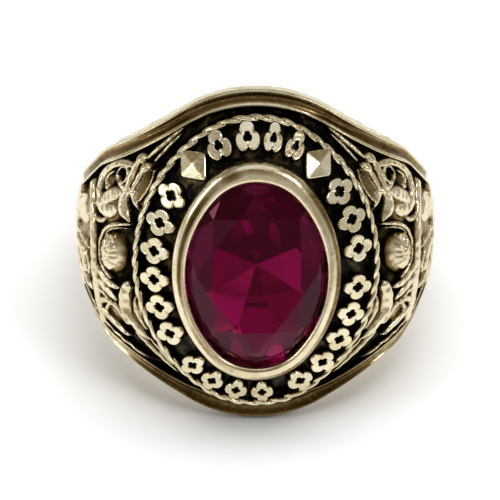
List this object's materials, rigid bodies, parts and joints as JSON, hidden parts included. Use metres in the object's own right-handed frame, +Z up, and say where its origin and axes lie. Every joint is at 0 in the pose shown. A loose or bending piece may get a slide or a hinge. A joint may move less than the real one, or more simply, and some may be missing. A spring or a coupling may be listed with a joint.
{
  "type": "class ring",
  "caption": "Gold ring lying on its side: oval faceted red stone in a bezel, ornamented channel, twisted rope border, scrolled shoulders, and a finger hole open right through.",
  "frame": {"origin": "centre of the footprint, on the surface the ring lies on", "axes": "+Y from the stone's face towards the back of the shank, +Z up, +X across the face; the finger hole runs up and back along (0, 0.393, 0.920)"},
  "size_m": [0.0246, 0.0284, 0.0218],
  "materials": {
    "gold": "polished high spots, blackened recesses",
    "red_stone": "faceted and polished"
  },
  "bodies": {
    "root": {"ring_body": "gold", "stone": "red_stone"}
  },
  "joints": []
}
